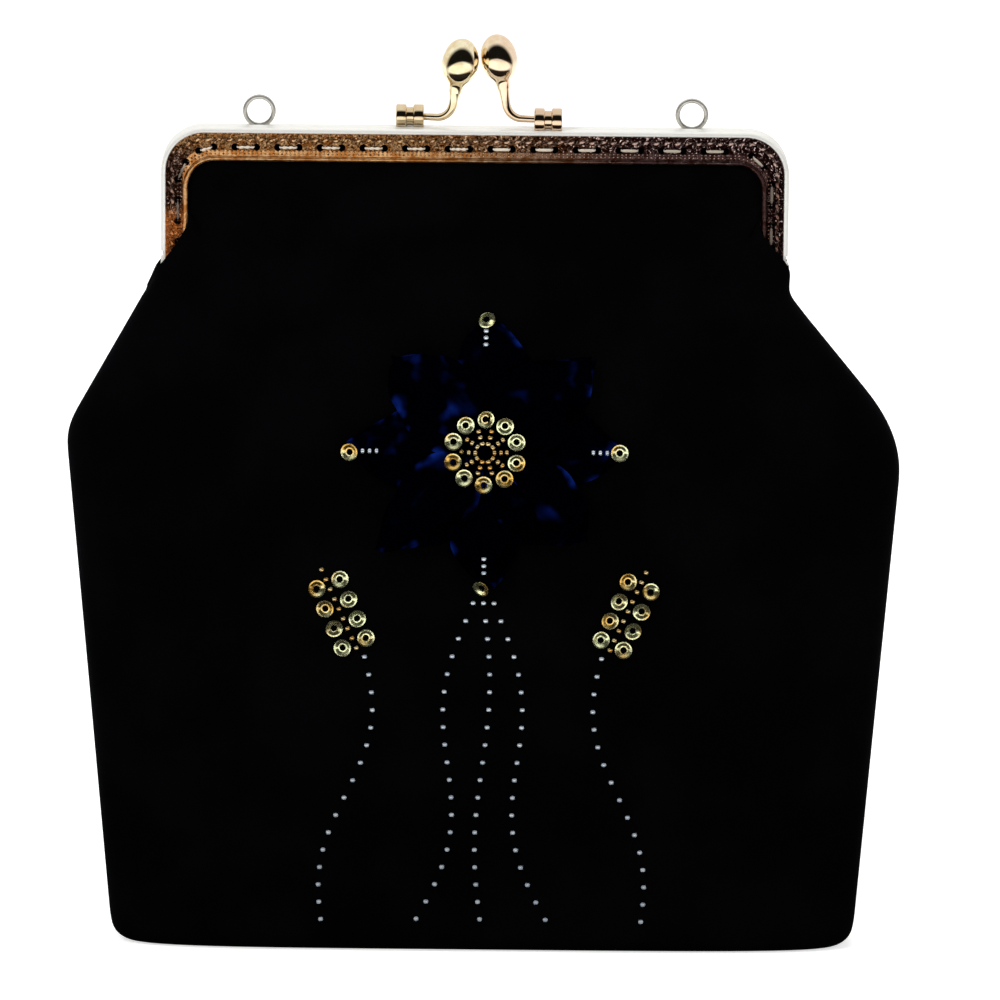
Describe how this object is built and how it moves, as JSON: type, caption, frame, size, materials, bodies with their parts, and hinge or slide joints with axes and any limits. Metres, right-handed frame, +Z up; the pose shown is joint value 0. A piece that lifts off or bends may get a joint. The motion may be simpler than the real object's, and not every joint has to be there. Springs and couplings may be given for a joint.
{
  "type": "clutch purse",
  "caption": "Velvet clutch purse with a hinged embossed kiss-lock frame, two fixed chain rings, a lining and a beaded satin flower on the front.",
  "frame": {"origin": "middle of the flat base the purse stands on", "axes": "+X to the wearer's right as the front is seen, +Z up, the embroidered front faces -Y"},
  "size_m": [0.2401, 0.0511, 0.2648],
  "materials": {
    "velvet": "short-pile velvet",
    "lining": "satin lining",
    "fleece": "matte wadding",
    "petal_satin": "satin",
    "thread": "twisted thread",
    "antique_gold": "embossed, antiqued",
    "polished_gold": "polished",
    "ring_metal": "polished pale gold",
    "sequin_gold": "metallised gloss",
    "gold_beads": "gloss",
    "silver_beads": "silver-lined gloss"
  },
  "bodies": {
    "bag": {"front_panel": "velvet", "rear_panel": "velvet", "front_fleece": "fleece", "rear_fleece": "fleece", "front_lining": "lining", "rear_lining": "lining", "petal_1": "petal_satin", "petal_2": "petal_satin", "petal_3": "petal_satin", "petal_4": "petal_satin", "petal_5": "petal_satin", "petal_6": "petal_satin", "petal_7": "petal_satin", "petal_8": "petal_satin", "flower_button": "petal_satin", "flower_sequins": "sequin_gold", "flower_beads": "gold_beads", "petal_tip_sequins": "sequin_gold", "petal_tip_beads": "silver_beads", "spray_sequins": "sequin_gold", "spray_beads": "gold_beads", "stem_beads": "silver_beads"},
    "front_half": {"front_frame": "antique_gold", "hinge_rivet_left": "antique_gold", "hinge_rivet_right": "antique_gold", "clasp_foot_front": "polished_gold", "clasp_arm_front": "polished_gold", "clasp_ball_front": "polished_gold", "front_frame_stitching": "thread", "front_panel_top": "velvet", "front_lining_top": "lining"},
    "rear_half": {"rear_frame": "antique_gold", "clasp_foot_rear": "polished_gold", "clasp_arm_rear": "polished_gold", "clasp_ball_rear": "polished_gold", "chain_ring_left": "ring_metal", "chain_ring_right": "ring_metal", "rear_frame_stitching": "thread", "rear_panel_top": "velvet", "rear_lining_top": "lining"}
  },
  "joints": [
    {"name": "front_hinge", "type": "hinge", "parent": "bag", "child": "front_half", "pos_m": [-0.0036, 0, 0.198], "axis": [1, 0, 0], "range_deg": [0, 45]},
    {"name": "rear_hinge", "type": "hinge", "parent": "bag", "child": "rear_half", "pos_m": [-0.0036, 0, 0.198], "axis": [-1, 0, 0], "range_deg": [0, 45]}
  ],
  "couplings": [
    {"joint": "rear_hinge", "follows": "front_hinge", "ratio": 1}
  ]
}
